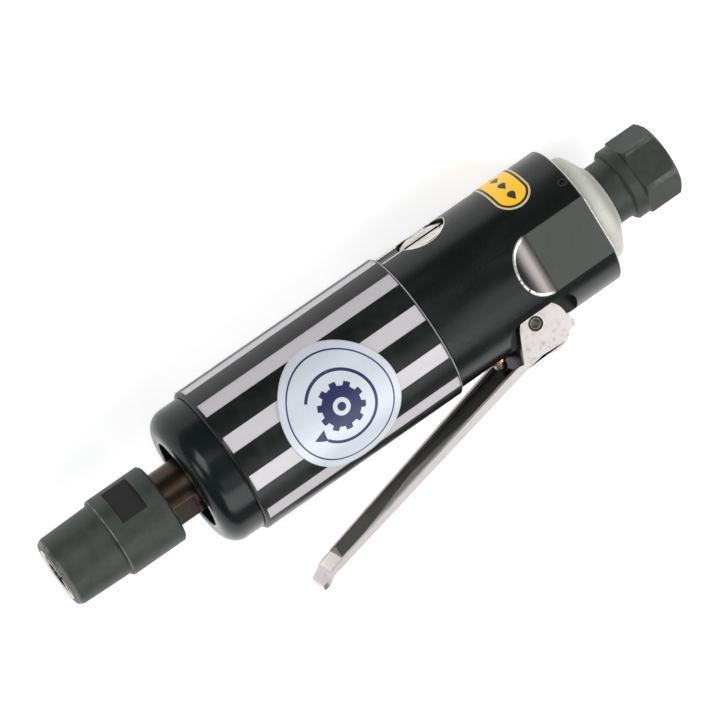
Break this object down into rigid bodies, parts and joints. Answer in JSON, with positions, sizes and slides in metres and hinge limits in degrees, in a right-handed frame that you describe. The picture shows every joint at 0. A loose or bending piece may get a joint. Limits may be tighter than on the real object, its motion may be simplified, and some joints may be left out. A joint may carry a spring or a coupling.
{
  "type": "die grinder",
  "caption": "Small pneumatic die grinder: fluted black grip, lever throttle with air regulator, quarter-inch collet, turning exhaust deflector and hexagonal air inlet.",
  "frame": {"origin": "centre of the collet's mouth, on the spindle's axis", "axes": "+X out of the collet, +Y to the lever's side, +Z to the side with the round label; the lever swings in the XY plane"},
  "size_m": [0.168, 0.0563, 0.0369],
  "materials": {
    "housing_black": "semi-gloss black enamel on aluminium",
    "cap_black": "gloss black",
    "sleeve_black": "black anodised aluminium with bright milled flutes and rims",
    "phosphated_steel": "dark phosphated (parkerised) steel",
    "spindle_steel": "dark ground steel",
    "collet_steel": "ground spring steel",
    "lever_nickel": "satin nickel plated sheet",
    "pin_steel": "bright steel",
    "regulator_steel": "turned bright steel",
    "bush_brass": "turned, reddish",
    "screen_brass": "woven and stamped",
    "label_silver": "printed foil",
    "label_yellow": "printed foil",
    "deflector_grey": "light grey moulding",
    "motor_steel": "ground",
    "bearing_steel": "polished",
    "spring_steel": "bright spring steel",
    "o_ring_rubber": "black nitrile",
    "seat_plastic": "natural nylon",
    "felt": "pressed wool felt",
    "gasket_sheet": "fibre gasket sheet",
    "vane_fibre": "phenolic laminate"
  },
  "bodies": {
    "body": {"housing": "housing_black", "front_cap": "cap_black", "dust_shield": "cap_black", "felt_seal": "felt", "wave_washer": "spring_steel", "front_bearing_outer": "bearing_steel", "front_end_plate": "motor_steel", "cylinder": "motor_steel", "rear_end_plate": "motor_steel", "cylinder_dowel": "bearing_steel", "rear_bearing_outer": "bearing_steel", "gasket": "gasket_sheet", "grip_sleeve": "sleeve_black", "round_label": "label_silver", "oil_label": "label_yellow", "pivot_pin": "pin_steel", "pin_bush": "bush_brass", "pin_o_ring": "o_ring_rubber", "valve_seat": "seat_plastic", "valve_spring": "spring_steel", "regulator_pin": "pin_steel", "deflector_screw": "pin_steel", "deflector_washer": "spring_steel", "muffler_felt": "felt", "inlet_bushing": "phosphated_steel", "inlet_o_ring": "o_ring_rubber", "inlet_screen": "screen_brass"},
    "spindle": {"spindle_body": "spindle_steel", "rotor": "motor_steel", "vanes": "vane_fibre", "front_bearing_inner": "bearing_steel", "rear_bearing_inner": "bearing_steel"},
    "front_balls": {"front_bearing_balls": "bearing_steel", "front_bearing_cage": "screen_brass"},
    "rear_balls": {"rear_bearing_balls": "bearing_steel", "rear_bearing_cage": "screen_brass"},
    "collet": {"collet": "collet_steel"},
    "nut": {"collet_nut": "phosphated_steel"},
    "lever": {"throttle_lever": "lever_nickel"},
    "throttle_valve": {"throttle_pin": "pin_steel", "valve_head": "o_ring_rubber"},
    "regulator": {"regulator": "regulator_steel", "regulator_o_ring": "o_ring_rubber"},
    "deflector": {"exhaust_deflector": "deflector_grey"}
  },
  "joints": [
    {"name": "spindle_spin", "type": "hinge", "parent": "body", "child": "spindle", "pos_m": [-0.05, 0, 0], "axis": [1, 0, 0], "continuous": true},
    {"name": "front_balls_spin", "type": "hinge", "parent": "body", "child": "front_balls", "pos_m": [-0.0544, 0, 0], "axis": [1, 0, 0], "continuous": true},
    {"name": "rear_balls_spin", "type": "hinge", "parent": "body", "child": "rear_balls", "pos_m": [-0.0944, 0, 0], "axis": [1, 0, 0], "continuous": true},
    {"name": "collet_travel", "type": "slide", "parent": "spindle", "child": "collet", "axis": [1, 0, 0], "range_m": [0, 0.002]},
    {"name": "nut_turn", "type": "hinge", "parent": "collet", "child": "nut", "pos_m": [-0.014, 0, 0], "axis": [1, 0, 0], "range_deg": [0, 720.1]},
    {"name": "lever_squeeze", "type": "hinge", "parent": "body", "child": "lever", "pos_m": [-0.1213, 0.0135, 0], "axis": [0, 0, -1], "range_deg": [0, 11], "stiffness_Nm_per_rad": 0.3, "springref_deg": -17.19},
    {"name": "throttle_pin_travel", "type": "slide", "parent": "body", "child": "throttle_valve", "axis": [0, -1, 0], "range_m": [0, 0.00214], "deforming": ["valve_spring"]},
    {"name": "regulator_turn", "type": "hinge", "parent": "body", "child": "regulator", "pos_m": [-0.1108, -0.01, 0], "axis": [0, 1, 0], "range_deg": [0, 90]},
    {"name": "deflector_turn", "type": "hinge", "parent": "body", "child": "deflector", "pos_m": [-0.148, 0, 0], "axis": [1, 0, 0], "continuous": true}
  ],
  "couplings": [
    {"joint": "front_balls_spin", "follows": "spindle_spin", "ratio": 0.40186},
    {"joint": "rear_balls_spin", "follows": "spindle_spin", "ratio": 0.38889},
    {"joint": "nut_turn", "follows": "collet_travel", "rad_per_m": 6283.2},
    {"joint": "throttle_pin_travel", "follows": "lever_squeeze", "m_per_rad": 0.0111}
  ]
}
